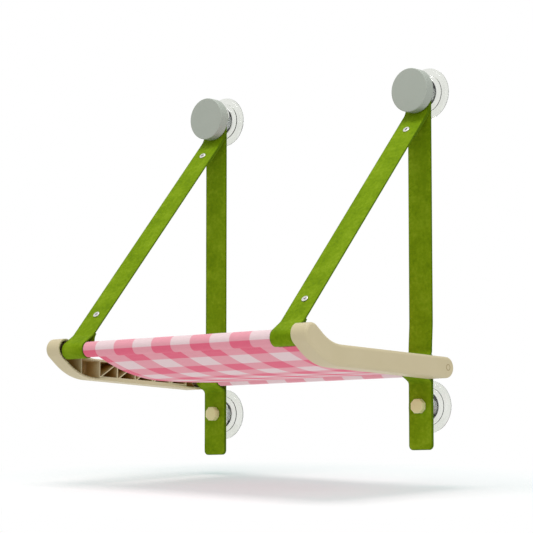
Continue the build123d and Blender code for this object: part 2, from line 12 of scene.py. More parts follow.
import bmesh
import bpy
import numpy as np
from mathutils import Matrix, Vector

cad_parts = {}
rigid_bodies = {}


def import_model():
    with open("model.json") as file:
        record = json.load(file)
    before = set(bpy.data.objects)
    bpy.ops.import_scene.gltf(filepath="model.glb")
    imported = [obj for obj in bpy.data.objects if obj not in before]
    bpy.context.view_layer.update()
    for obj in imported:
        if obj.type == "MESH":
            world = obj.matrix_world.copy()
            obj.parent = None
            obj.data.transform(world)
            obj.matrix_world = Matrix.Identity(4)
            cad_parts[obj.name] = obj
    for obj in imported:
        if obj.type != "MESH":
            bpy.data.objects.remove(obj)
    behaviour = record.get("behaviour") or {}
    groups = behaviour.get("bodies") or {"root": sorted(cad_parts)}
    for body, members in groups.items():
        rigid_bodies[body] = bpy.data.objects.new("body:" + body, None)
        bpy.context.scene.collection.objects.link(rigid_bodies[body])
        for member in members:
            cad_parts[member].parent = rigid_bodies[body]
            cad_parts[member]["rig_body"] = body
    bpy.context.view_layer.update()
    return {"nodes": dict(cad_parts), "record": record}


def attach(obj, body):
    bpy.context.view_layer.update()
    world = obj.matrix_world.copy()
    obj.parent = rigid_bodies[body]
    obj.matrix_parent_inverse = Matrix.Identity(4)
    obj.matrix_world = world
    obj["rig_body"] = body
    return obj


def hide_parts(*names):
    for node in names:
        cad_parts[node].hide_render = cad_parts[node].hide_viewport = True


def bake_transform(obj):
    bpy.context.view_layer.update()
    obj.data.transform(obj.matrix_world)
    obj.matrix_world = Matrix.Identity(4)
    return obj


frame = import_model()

nodes = frame["nodes"]

# %% [markdown]
# ## The camera
#
# The photograph was taken with a long lens, from the right, a little below the bed. A camera can be
# placed by eye, or solved from edges that are straight and level on the real object. It was solved
# from such edges, so the angles below are those of the real camera, and the picture needs no shift.

# %% Camera
MM = 0.001
camera_turn = math.radians(39.79)
camera_tilt = math.radians(6.06)
camera_place = np.array([2049.8, -2585.3, -360.9]) * MM
focal_length, sensor_width = 160.9, 36.0

lens = bpy.data.cameras.new("camera")
lens.lens = focal_length
lens.sensor_width = sensor_width
camera = bpy.data.objects.new("camera", lens)
camera.location = camera_place
camera.rotation_euler = (math.pi / 2 + camera_tilt, 0, camera_turn)
bpy.context.collection.objects.link(camera)
bpy.context.scene.camera = camera
camera_reach = float(np.linalg.norm(camera_place))
print("camera stands", round(camera_reach, 2), "m from the middle of the cups")

# %% [markdown]
# ## Sizes that the pieces share
#
# Side views are drawn as complex numbers: the real part is the distance from the glass and the
# imaginary part is the height. A turn is then a product, which keeps arcs and offsets short. One function
# takes such points back into the model.

# %% Shared sizes, in millimetres
cup_x, cup_z = 181.0, 211.5
front_rod = 301.5 - 135.7j
rear_rod = 30.1 - 162.3j
rod_radius = 9.5
rod_wrap_radius = 9.6
strap_half, strap_thickness = 19.0, 2.0
sleeve_half, panel_left, panel_right = 161.6, -146.0, 198.4
cloth = 0.8
sides = {"left": -1, "right": 1}


def in_space(x, side_view):
    """Points of the model, in millimetres, from x and the side view."""
    return np.stack([x, -side_view.real, side_view.imag], axis=-1)


print("rods are", round(abs(front_rod - rear_rod), 1), "mm apart")

# %% [markdown]
# ## Surfaces from a grid
#
# Every new piece is a grid of points worked out at once. The grid's cells become faces, points that
# coincide are merged, which closes ends and poles, and all faces are turned outwards.


# %% Surface helpers
merge_distance, shortest_edge = 1e-6, 1e-7
closest_points, length_digits = 1e-4, 4
fewest_arc_points = 3


def surface(name, points, uv, sharp, inset=None):
    """A closed mesh object from a grid of points.

    points has the shape (rows, columns, 3), in metres, and its last column joins its first. uv gives
    each point's place on the flat material, in metres, and inset its distance from the edge.
    """
    rows, columns = points.shape[:2]
    index = np.arange(rows * columns).reshape(rows, columns)
    after = np.roll(index, -1, axis=1)
    faces = np.stack([index[:-1], after[:-1], after[1:], index[1:]], axis=-1).reshape(-1, 4)
    mesh = bpy.data.meshes.new(name)
    mesh.from_pydata(points.reshape(-1, 3).tolist(), [], faces.tolist())
    corners = np.empty(len(mesh.loops), np.int32)
    mesh.loops.foreach_get("vertex_index", corners)
    layer = mesh.uv_layers.new(name="flat")
    layer.data.foreach_set("uv", uv.reshape(-1, 2)[corners].astype(np.float32).ravel())
    if inset is not None:
        edge = mesh.attributes.new("inset", "FLOAT", "POINT")
        edge.data.foreach_set("value", inset.astype(np.float32).ravel())
    return closed_object(name, mesh, sharp)


def closed_object(name, mesh, sharp):
    """Merges points that coincide, turns the faces outwards, and shades smooth below the sharp angle."""
    shape = bmesh.new()
    shape.from_mesh(mesh)
    bmesh.ops.remove_doubles(shape, verts=shape.verts, dist=merge_distance)
    bmesh.ops.dissolve_degenerate(shape, edges=shape.edges, dist=shortest_edge)
    bmesh.ops.recalc_face_normals(shape, faces=shape.faces)
    shape.to_mesh(mesh)
    shape.free()
    mesh.shade_smooth()
    mesh.set_sharp_from_angle(angle=math.radians(sharp))
    made = bpy.data.objects.new(name, mesh)
    bpy.context.collection.objects.link(made)
    return made


def rounded_line(corners, bends, step=6.0):
    """A side view line with round bends.

    Each bend is the arc of its radius that touches the two runs at its corner. step is the turn in
    degrees from one point of an arc to the next.
    """
    corners = [complex(c) for c in corners]
    line = [np.array(corners[:1])]
    for before, corner, after, bend in zip(corners, corners[1:], corners[2:], bends):
        way = (corner - before) / abs(corner - before)
        turn = float(np.angle((after - corner) / (corner - before)))
        start = corner - way * bend * math.tan(abs(turn) / 2)
        centre = start + 1j * way * bend * np.sign(turn)
        count = int(abs(turn) / math.radians(step)) + fewest_arc_points
        line.append(centre + (start - centre) * np.exp(1j * turn * np.linspace(0, 1, count)))
    line.append(np.array(corners[-1:]))
    return np.concatenate(line)


def arc(centre, radius, first, last, step=6.0):
    """Points on a circle, from the first angle to the last, in degrees."""
    count = int(abs(last - first) / step) + fewest_arc_points
    return centre + radius * np.exp(1j * np.radians(np.linspace(first, last, count)))


def tangent_arc(start, heading, end, count=40):
    """The arc that leaves start in this heading and ends at end: the chord turns by half the arc's turn."""
    chord = (end - start) / heading
    turn = 2 * float(np.angle(chord))
    radius = abs(chord) / (2 * math.sin(turn / 2))
    return start + heading * radius * (np.exp(1j * turn * np.linspace(0, 1, count)) - 1) / 1j


def stations(line, extra=(), step=5.0):
    """The line's points again, with more where its runs are longer than the step and at extra lengths.

    An extra length below zero is counted from the line's end. Points, directions and lengths come back.
    """
    line = line[np.concatenate([[True], np.abs(np.diff(line)) > closest_points])]
    length = np.concatenate([[0.0], np.cumsum(np.abs(np.diff(line)))])
    pieces = [length]
    for a, b in zip(length[:-1], length[1:]):
        if b - a > step:
            pieces.append(np.linspace(a, b, int((b - a) / step) + 2))
    extra = np.array(extra, float)
    pieces.append(np.where(extra < 0, length[-1] + extra, extra))
    stops = np.unique(np.round(np.concatenate(pieces), length_digits))
    stops = stops[(stops >= 0) & (stops <= length[-1])]
    points = np.interp(stops, length, line.real) + 1j * np.interp(stops, length, line.imag)
    ways = np.gradient(line, length)
    way = np.interp(stops, length, ways.real) + 1j * np.interp(stops, length, ways.imag)
    return points, way / np.abs(way), stops


print("an arc of 90 degrees has", len(arc(0, 1, 0, 90)), "points")

# %% [markdown]
# ## Straps
#
# The straps are flat strips of coated webbing, 38 mm wide and 2 mm thick. Each was cut, and its edges
# were sealed with heat, which leaves them round, darker, and with a fine crease just inside. A strip
# could be a bent box with a bevel. Carrying one cross-section along the line gives the crease, the
# rounded ends and even texture coordinates in one step.


# %% A strip carried along a line
edge_round = 0.55
crease_inset, crease_width, crease_depth = 1.9, 0.45, 0.14
strap_insets = np.array([0, 0.04, 0.16, 0.33, 0.55, 1.1, 1.45, 1.7, 1.9, 2.1, 2.35, 2.8, 6.0, 12.5, 19.0])
close_insets = 12
end_turn = 6


def quarter_round(inset, radius):
    """The height of a quarter circle this far in from its foot, and its radius further in."""
    return np.sqrt(np.clip(radius**2 - (radius - np.clip(inset, 0, radius)) ** 2, 0, None))


def strap_relief(inset):
    """Half the strap's thickness this far from its edge: a quarter round, then flat, less the crease."""
    crease = crease_depth * np.exp(-(((inset - crease_inset) / crease_width) ** 2))
    return strap_thickness / 2 - edge_round + quarter_round(inset, edge_round) - crease


def from_corner(across, along, radius):
    """How far inside a rounded corner a point lies, from its distances to the side and to the end."""
    corner = radius - np.hypot(np.clip(radius - across, 0, None), np.clip(radius - along, 0, None))
    inside = (across < radius) & (along < radius)
    return np.where(inside, corner, np.minimum(across, along))


def rounded_half(width, left, radius):
    """Half the strip's width this far from an end whose corners have this radius."""
    return width - radius + quarter_round(left, radius)


def end_rows(radius):
    """Lengths, counted from a rounded end, at which its outline turns by equal angles, up to 90 degrees."""
    return radius * (1 - np.cos(np.radians(np.arange(end_turn, 90 + end_turn, end_turn))))


def even_width(half):
    """The width function of a strip whose half width is the same all along."""
    return lambda length, total: np.full_like(length, half)


def strip(name, line, centre_x, width, rounds=None, rows=(), insets=strap_insets, relief=strap_relief,
          thickness=strap_thickness, flat=(0, 0, 1), bulge=None, middle=None):
    """A strip of material with one face on the line, closed at its ends.

    The columns go over one face from edge to edge and back over the other. The relief at a point's
    distance from the nearest edge sets it off from the strip's middle. width gives half the width from
    each length and the total one. rounds is the corner radius at both ends, or None for a strip that
    joins itself. rows are more lengths that get points, counted from the far end where they are
    negative. flat is the shift across, the shift along and the direction of the flat material's
    coordinates. bulge lifts both faces by the point's place. middle gives the strip's middle at each
    length, where one side reaches further than the other.
    """
    near = list(insets[:close_insets]) if rounds else []
    points, way, length = stations(line, [*near, *(-np.array(near[1:])), *rows])
    total = length[-1]
    if not rounds:
        points[-1] = points[0]
        way[0] = way[-1] = (way[0] + way[-1]) / abs(way[0] + way[-1])
    half = width(length, total)
    if rounds:
        half = np.minimum(rounded_half(half, length, rounds[0]),
                          rounded_half(half, total - length, rounds[1]))
    side = np.concatenate([-np.ones(len(insets)), np.ones(len(insets) - 1)])
    across = np.concatenate([insets, insets[-2::-1]])
    face = np.concatenate([np.ones(len(side)), -np.ones(len(side))])
    side, across = np.concatenate([side, side[::-1]]), np.concatenate([across, across[::-1]])
    x = side[None, :] * (half[:, None] - np.minimum(across[None, :], half[:, None]))
    beside = width(length, total)[:, None] - np.abs(x)
    inset = beside
    if rounds:
        inset = from_corner(beside, length[:, None], rounds[0])
        inset = np.minimum(inset, from_corner(beside, (total - length)[:, None], rounds[1]))
    inset = np.clip(inset, 0, None)
    if middle is not None:
        x = x + middle(length)[:, None]
    off = thickness / 2 + face[None, :] * relief(inset)
    if bulge is not None:
        off = off + bulge(x, length[:, None])
    if rounds:
        tip = np.full((1, off.shape[1]), thickness / 2)
        off = np.concatenate([tip, off, tip])
        x, inset = (np.concatenate([a[:1], a, a[-1:]]) for a in (x, inset))
        points, way, length = (np.concatenate([a[:1], a, a[-1:]]) for a in (points, way, length))
    side_view = points[:, None] + 1j * way[:, None] * off
    place = in_space(x + centre_x, side_view) * MM
    along = np.broadcast_to(flat[1] + flat[2] * length[:, None], x.shape)
    made = surface(name, place, np.stack([x + flat[0], along], axis=-1) * MM, sharp=50, inset=inset * MM)
    print(name, "is", round(float(total), 1), "mm long, with", len(made.data.polygons), "faces")
    return made


# %% [markdown]
# The upright strap drops from the upper stud, steps out over the backing strap, goes round the front
# of the rear rod and ends below the lower stud. Behind the rod the backing strap is the other half of
# the loop.

# %% Lines of the straps
strap_foot = -269.5
wall_strap_depth, lower_strap_depth = 18.5, 20.5
step_top, step_bottom, step_bend = -102.3, -133.3, 60.0
bulge_above, bulge_below = 19.0, 15.7
bulge_bends = (12.0, rod_wrap_radius, 8.0)
foot_round = 6.5
backing_top = -141.3


def wall_strap_line():
    """Both tangents from the loop's ends to the circle round the rod, with that circle as the bend."""
    above = 2 * math.atan(rod_wrap_radius / bulge_above)
    below = 2 * math.atan(rod_wrap_radius / bulge_below)
    run = (bulge_above + bulge_below) * math.sin(below) / math.sin(above + below)
    loop_top = lower_strap_depth + 1j * (rear_rod.imag + bulge_above)
    front = loop_top - 1j * run * np.exp(1j * above)
    corners = [
        wall_strap_depth + 1j * (cup_z + strap_half),
        wall_strap_depth + 1j * step_top,
        lower_strap_depth + 1j * step_bottom,
        loop_top,
        front,
        lower_strap_depth + 1j * (rear_rod.imag - bulge_below),
        lower_strap_depth + 1j * strap_foot,
    ]
    return rounded_line(corners, (step_bend, step_bend, *bulge_bends))


print("upright strap bends at", len(bulge_bends) + 2, "corners")

# %% [markdown]
# The hanger strap starts as a short tail behind the upper screw, folds over above the stud, runs down
# to the front rod, goes round it, and comes back as a narrow tongue to the lower screw.

# %% Line of the hanger strap
hanger_depth, tail_gap = 22.7, 0.2
bend_below_stud, fold_above_stud = 28.2, 13.0
bend_corner = hanger_depth + 1j * (cup_z - bend_below_stud)
fold_height = cup_z + fold_above_stud
bend_radius, split_bend = 25.0, 15.0
hanger_offset = 4.5
split_from_rod, shoulder_from_rod, lower_screw_from_rod = 22.0, 30.0, 61.0
tongue_half = 13.0
upper_screw_from_corner, upper_tail = 37.8, 13.0

towards_corner = bend_corner - front_rod
hanger_turn = float(np.angle(towards_corner)) + math.asin(hanger_offset / abs(towards_corner))
hanger_up = complex(np.exp(1j * hanger_turn))
hanger_out = hanger_up * -1j
hanger_run = math.sqrt(abs(towards_corner) ** 2 - hanger_offset**2)
upper_screw_from_rod = hanger_run - upper_screw_from_corner
print("hanger strap slopes", round(180 - math.degrees(hanger_turn), 1), "degrees")


def beside_rod(up, out):
    """The side view point this far up the hanger strap from the front rod, and out from it."""
    return front_rod + up * hanger_up + out * hanger_out


def contact(offset, turn):
    """The angle at which a layer that comes down at this offset meets the circle round the rod."""
    split = split_from_rod * hanger_up + offset * hanger_out
    return math.degrees(np.angle(split) + turn * math.acos(rod_wrap_radius / abs(split)))


def hanger_line():
    """Tail, fold, long run, wrap and tongue, joined end to end."""
    tail_offset = hanger_offset - tail_gap
    slope = math.pi - hanger_turn
    tail_drop = tail_gap * (1 - math.sin(slope)) / math.cos(slope)
    tail_corner = bend_corner - tail_gap - 1j * tail_drop
    tail_end = beside_rod(upper_screw_from_rod - upper_tail, tail_offset)
    fold_start = hanger_depth - tail_gap + 1j * fold_height
    fold_end = hanger_depth + 1j * fold_height
    first, last = contact(hanger_offset, -1), contact(tail_offset, 1)
    wrap = arc(front_rod, rod_wrap_radius, first, last - 360)
    split = beside_rod(split_from_rod, hanger_offset)
    tail_split = beside_rod(split_from_rod, tail_offset)
    tongue_end = beside_rod(lower_screw_from_rod + tongue_half, tail_offset)
    return np.concatenate([
        rounded_line([tail_end, tail_corner, fold_start], [bend_radius + tail_gap]),
        arc((fold_start + fold_end) / 2, tail_gap / 2, 180, 0, step=15),
        rounded_line([fold_end, bend_corner, split, wrap[0]], [bend_radius, split_bend]),
        wrap,
        rounded_line([wrap[-1], tail_split, tongue_end], [split_bend]),
    ])


tongue_length = lower_screw_from_rod + tongue_half - shoulder_from_rod


def hanger_width(length, total):
    """Full width to the shoulder, then the tongue's half width."""
    return np.where(total - length > tongue_length, strap_half, tongue_half)


# %% [markdown]
# On the real perch the hanger straps go slack and bend when the bed folds up. The upright and its
# backing never move. Each strap takes its own lot of the webbing, so that no two have the same clouds
# of colour.

# %% Make the straps
side_lot, hanger_lot, backing_lot = 700, 1400, 3000
tail_round, square_step = 0.5, 0.02
backing_line = wall_strap_depth + 1j * np.array([backing_top, strap_foot])
straps = []
for number, (side, sign) in enumerate(sides.items()):
    x, lot = sign * cup_x, side_lot * number
    upright = strip(f"{side}_upright_strap", wall_strap_line(), x, even_width(strap_half),
                    rounds=(strap_half, foot_round), flat=(0, lot, 1),
                    rows=[*end_rows(strap_half), *(-end_rows(foot_round))])
    backing = strip(f"{side}_backing_piece", backing_line, x, even_width(strap_half),
                    rounds=(foot_round, foot_round), flat=(0, lot + backing_lot, 1),
                    rows=[*end_rows(foot_round), *(-end_rows(foot_round))])
    hanger = strip(f"{side}_hanger_strap", hanger_line(), x, hanger_width,
                   rounds=(tail_round, tongue_half), flat=(0, lot + hanger_lot, 1),
                   rows=[*(-end_rows(tongue_half)), -tongue_length - square_step, -tongue_length])
    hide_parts(f"{side}_vertical_strap")
    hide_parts(f"{side}_strap_backing")
    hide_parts(f"{side}_diagonal_strap")
    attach(upright, "root")
    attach(backing, "root")
    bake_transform(hanger)
    straps += [upright, backing, hanger]

# %% [markdown]
# ## The sling
#
# The bed is one cotton cloth in a pink and white gingham check. A sleeve at each end goes round a
# rod, and the panel hangs between them. It sits off centre: on the right it passes the straps, where it
# is cut out round them, and nearly reaches the rail. The panel's sides are hemmed: the cloth is folded
# over once and stitched. A simulation isn't needed, because the cloth is pulled tight between the rods,
# so its side view is two arcs that meet at the lowest point.

# %% Panel and sleeves
sleeve_inner = rod_radius + 0.05
seam_radius = sleeve_inner + cloth / 2
front_seam_turn, rear_seam_turn = -109.0, -37.0
front_seam = front_rod + seam_radius * np.exp(1j * math.radians(front_seam_turn))
rear_seam = rear_rod + seam_radius * np.exp(1j * math.radians(rear_seam_turn))
low_point = 172.0 - 172.3j
hem_width, hem_extra, hem_blur = 9.0, 0.5, 0.12
pucker_height, pucker_reach, pucker_rise, pucker_side = 0.10, 14.0, 5.0, 12.0
pucker_waves = ((1.0, 7.3, 0.0), (0.7, 4.1, 1.3), (0.5, 11.9, 0.4))
hem_insets = [0, 0.04, 0.14, 0.28, 0.4, 0.9, 2.0, 4.0, 6.0, 8.0, 8.7, 9.0, 9.3, 10.0]
panel_insets = np.concatenate([hem_insets, np.linspace(15, (panel_right - panel_left) / 2, 28)])
sleeve_insets = np.concatenate([hem_insets, np.linspace(15, sleeve_half, 26)])


def sleeve_relief(inset):
    """Half the cloth's thickness, round at the edge. A sleeve has no room to grow inwards at its hem."""
    return quarter_round(inset, cloth / 2)


def panel_relief(inset):
    """The same, made thicker by a smooth step where the hem doubles the cloth."""
    past_hem = np.exp(np.clip((inset - hem_width) / hem_blur, -50, 50))
    return sleeve_relief(inset) * (1 + hem_extra / (1 + past_hem))


def pucker(x, length):
    """Small waves that the seams draw into the panel: a sum of three sines that dies away from them."""
    wave = sum(height * np.sin(x / size + shift) for height, size, shift in pucker_waves)
    from_seam = np.minimum(length, panel_length - length)
    calm = np.clip(np.minimum(x - panel_left, sleeve_half - x) / pucker_side, 0, 1)
    rise = np.clip(from_seam / pucker_rise, 0, 1)
    return pucker_height * wave * calm * np.exp(-from_seam / pucker_reach) * rise


panel_line = np.concatenate([
    tangent_arc(low_point, 1, front_seam)[::-1],
    tangent_arc(low_point, -1, rear_seam)[1:],
])
panel_length = float(np.abs(np.diff(panel_line)).sum())
cut_round_strap, fine_step = 13.6, 0.2
points, _, length = stations(panel_line, step=fine_step)
beyond = np.minimum(np.abs(points - front_rod), np.abs(points - rear_rod)) > cut_round_strap
reach_start, reach_end = length[beyond][[0, -1]]


def right_edge(length):
    """The panel's right side: the sleeve's end where it is cut out round the straps, else near the rail."""
    return np.where((length > reach_start) & (length < reach_end), panel_right, sleeve_half)


def panel_half(length, total):
    """Half the panel's width at each length."""
    return (right_edge(length) - panel_left) / 2


def panel_middle(length):
    """The panel's middle at each length."""
    return (right_edge(length) + panel_left) / 2


sleeve_step = 360 / 72
sleeve_shift, front_sleeve_start = 5.5, 7.3
front_round = arc(front_rod, sleeve_inner, front_seam_turn, front_seam_turn + 360, sleeve_step)
rear_round = arc(rear_rod, sleeve_inner, rear_seam_turn, rear_seam_turn - 360, sleeve_step)
panel = strip("sling_panel", panel_line, 0, panel_half, rounds=(cloth / 2, cloth / 2),
              insets=panel_insets, relief=panel_relief, thickness=-cloth, bulge=pucker, middle=panel_middle,
              rows=[reach_start, reach_start + square_step, reach_end - square_step, reach_end])
front_sleeve = strip("front_sleeve", front_round, 0, even_width(sleeve_half), insets=sleeve_insets,
                     relief=sleeve_relief, thickness=-cloth, flat=(sleeve_shift, front_sleeve_start, -1))
rear_sleeve = strip("rear_sleeve", rear_round, 0, even_width(sleeve_half), insets=sleeve_insets,
                    relief=sleeve_relief, thickness=cloth, flat=(sleeve_shift, panel_length, 1))
joined = [panel, front_sleeve, rear_sleeve]
with bpy.context.temp_override(active_object=panel, selected_editable_objects=joined):
    bpy.ops.object.join()
panel.name = "sling_cloth"
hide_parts("sling")
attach(panel, "bed")
sleeve_round = 2 * math.pi * seam_radius
flat_area = 2 * sleeve_half * 2 * sleeve_round + (sleeve_half - panel_left) * panel_length
flat_area += (panel_right - sleeve_half) * (reach_end - reach_start)
flat_area *= MM * MM

# %% [markdown]
# Thread shows as rows of short stitches: two along the seams, and one along each side hem. There are
# hundreds, so one stitch is a capsule of two dozen faces, and all of them are one mesh.

# %% Stitches
stitch_length, stitch_pitch, thread_radius = 2.4, 3.5, 0.2
seam_gap, hem_gap, stitch_lift = 4.0, 1.5, 0.15
first_stitch, free_of_ends, free_of_sides, free_of_cut = 6, 8, 5, 4


def stitches(name, middles, ways, ups):
    """Many small capsules: rings along each way, whose radius is that of a half circle's height."""
    ring = np.radians([0, 45, 90, 135, 180])
    turn = np.radians(np.arange(0, 360, 60))
    along = -np.cos(ring) * stitch_length / 2
    radius = thread_radius * np.sqrt(np.clip(np.sin(ring), 0, None))
    across = np.cross(ways, ups)
    place = (
        middles[:, None, None, :]
        + along[None, :, None, None] * ways[:, None, None, :]
        + (radius[:, None] * np.cos(turn))[None, :, :, None] * across[:, None, None, :]
        + (radius[:, None] * np.sin(turn))[None, :, :, None] * ups[:, None, None, :]
    )
    count, rings, columns = place.shape[:3]
    index = np.arange(count * rings * columns).reshape(count, rings, columns)
    near, beside = index[:, :-1], np.roll(index[:, :-1], -1, axis=2)
    over, past = index[:, 1:], np.roll(index[:, 1:], -1, axis=2)
    faces = np.stack([near, beside, past, over], axis=-1).reshape(-1, 4)
    mesh = bpy.data.meshes.new(name)
    mesh.from_pydata((place.reshape(-1, 3) * MM).tolist(), [], faces.tolist())
    return closed_object(name, mesh, sharp=60)


def stitch_rows():
    """Middles, ways and ups of the stitches: along X at the seams, along the panel at the hems."""
    pitch = np.arange(first_stitch, panel_length - first_stitch, stitch_pitch)
    points, way, length = stations(panel_line, pitch, step=panel_length)
    along_x = np.arange(panel_left + free_of_sides, sleeve_half - free_of_sides, stitch_pitch)
    rows = []
    for face in (-1, 1):
        outwards = 1j * way * face
        lift = -1j * way * (cloth / 2) + outwards * (cloth / 2)
        for seam in (seam_gap, panel_length - seam_gap):
            near = int(np.argmin(np.abs(length - seam)))
            side_view = np.full(along_x.shape, points[near] + lift[near])
            up = in_space(0.0, outwards[near])
            rows.append((in_space(along_x, side_view), np.tile([1.0, 0, 0], (len(along_x), 1)),
                         np.tile(up, (len(along_x), 1))))
        phase = (length - first_stitch) % stitch_pitch
        kept = np.isclose(phase, 0, atol=0.01) | np.isclose(phase, stitch_pitch, atol=0.01)
        kept &= (length > free_of_ends) & (length < panel_length - free_of_ends)
        past_cut = kept & (length > reach_start + free_of_cut) & (length < reach_end - free_of_cut)
        hem = hem_width - hem_gap
        for x, row in ((panel_left + hem, kept), (panel_right - hem, past_cut)):
            side_view = (points + lift + outwards * stitch_lift)[row]
            none = np.zeros(row.sum())
            rows.append((in_space(np.full(row.sum(), x), side_view), in_space(none, way[row]),
                         in_space(none, outwards[row])))
    return [np.concatenate(part) for part in zip(*rows)]


thread = stitches("sling_stitches", *stitch_rows())
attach(thread, "bed")
print("stitches", len(thread.data.polygons), "faces")

# %% [markdown]
# ## Suction cups
#
# Each cup is one moulding of clear soft vinyl: a wide thin skirt with a flat sealing ring, low steps,
# and a thick hub that holds the head of the stud. Clear plastic shows every surface at once, so the
# profile has small round corners, which catch the light as the thin bright rings seen in the photo.


# %% Cups
cup_segments = 144


def turned(name, profile, x, z):
    """A profile of radius and depth turned about the stud's axis, with u round it and v along it."""
    angle = np.linspace(0, 2 * math.pi, cup_segments, endpoint=False)
    radius, depth = profile.real[:, None], profile.imag[:, None]
    place = np.stack([x + radius * np.cos(angle), -depth * np.ones_like(angle),
                      z + radius * np.sin(angle)], axis=-1)
    along = np.concatenate([[0], np.cumsum(np.abs(np.diff(profile)))])[:, None] * np.ones_like(angle)
    around = radius * angle
    return surface(name, place * MM, np.stack([around, along], axis=-1) * MM, sharp=60)


def cup_profile():
    """From the middle of the cavity out to the sealing ring, round the rim and up to the hub's face."""
    cavity = tangent_arc(0 + 3.0j, 1, 30.0 + 0j, count=24)
    corners = [30.0 + 0j, 35.0 + 0j, 35.0 + 1.5j, 31.6 + 2.5j, 31.2 + 3.0j, 30.2 + 3.2j, 29.9 + 3.0j,
               25.9 + 4.15j, 25.7 + 5.8j, 21.5 + 8.0j, 20.5 + 9.2j, 18.0 + 17.5j, 17.8 + 18.5j, 0 + 18.5j]
    bends = [0.5, 0.5, 0.3, 0.2, 0.2, 0.2, 0.5, 0.6, 0.8, 1.0, 0.6, 0.6]
    return np.concatenate([cavity[:-1], rounded_line(corners, bends, step=15)])


cups = []
for level, z in (("upper", cup_z), ("lower", -cup_z)):
    for side, sign in sides.items():
        cup = turned(f"{level}_{side}_suction_cup", cup_profile(), sign * cup_x, z)
        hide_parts(f"{level}_{side}_cup")
        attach(cup, "root")
        cups.append(cup)
print("cup profile has", len(cup_profile()), "points")

# %% [markdown]
# ## Hard pieces
#
# Rails, knobs, nuts and screws are right as the CAD gives them, except that their mesh is loose
# triangles. A merged copy can be shaded smooth. The lower binding screws and their posts sit where the
# hanger straps bend.


# %% Merged copies
def merged_copy(node, name):
    """A copy of a CAD node whose triangles share their corners, shaded smooth below 30 degrees."""
    mesh = nodes[node].data.copy()
    mesh.name = name
    mesh.materials.clear()
    made = closed_object(name, mesh, sharp=30)
    made.modifiers.new("flat faces stay flat", "WEIGHTED_NORMAL").keep_sharp = True
    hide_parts(node)
    return made


copies = {}
for side in sides:
    for node in (f"{side}_side_rail", f"upper_{side}_knob", f"lower_{side}_nut"):
        copies[node] = merged_copy(node, node + "_moulding")
        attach(copies[node], nodes[node]["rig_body"])
    for node in (f"lower_{side}_binding_screw", f"lower_{side}_binding_post"):
        copies[node] = merged_copy(node, node + "_on_strap")
        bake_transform(copies[node])
print(len(copies), "merged copies")

# %% [markdown]
# ## Materials
#
# Colours are written as sRGB hex values, as a picture editor shows them, and one function turns them
# into the linear values that shaders take. One more function adds a node with its settings and links.


# %% Colour and nodes
def srgb(text):
    """Linear red, green and blue of a hex colour: each channel is undone by the sRGB curve."""
    channels = np.array([int(text[i : i + 2], 16) for i in (1, 3, 5)]) / 255
    linear = np.where(channels <= 0.04045, channels / 12.92, ((channels + 0.055) / 1.055) ** 2.4)
    return (*linear.tolist(), 1.0)


def add(tree, kind, inputs=None, **settings):
    """Adds one node. Each input is a number, a colour or the output that it is linked to."""
    node = tree.nodes.new("ShaderNode" + kind)
    for key, value in settings.items():
        setattr(node, key, value)
    for key, value in (inputs or {}).items():
        if isinstance(value, bpy.types.NodeSocket):
            tree.links.new(value, node.inputs[key])
        else:
            node.inputs[key].default_value = value
    return node


def material(name, **surface_values):
    """A new material whose shader has these values, with spaces for underscores in the names."""
    made = bpy.data.materials.new(name)
    made.use_nodes = True
    shader = made.node_tree.nodes["Principled BSDF"]
    for key, value in surface_values.items():
        shader.inputs[key.replace("_", " ")].default_value = value
    return made, made.node_tree, shader


def per_metre(size):
    """A texture scale whose features are about this many millimetres across."""
    return 1 / (size * MM)


print("half grey is", round(srgb("#808080")[0], 3), "in linear light")

# %% [markdown]
# The straps are webbing under a soft green coat with a slight leather grain. The coat took the dye
# unevenly, so the green drifts over a few centimetres and in small clouds. Heat-sealed edges are
# darker, and the crease beside them catches a little light.


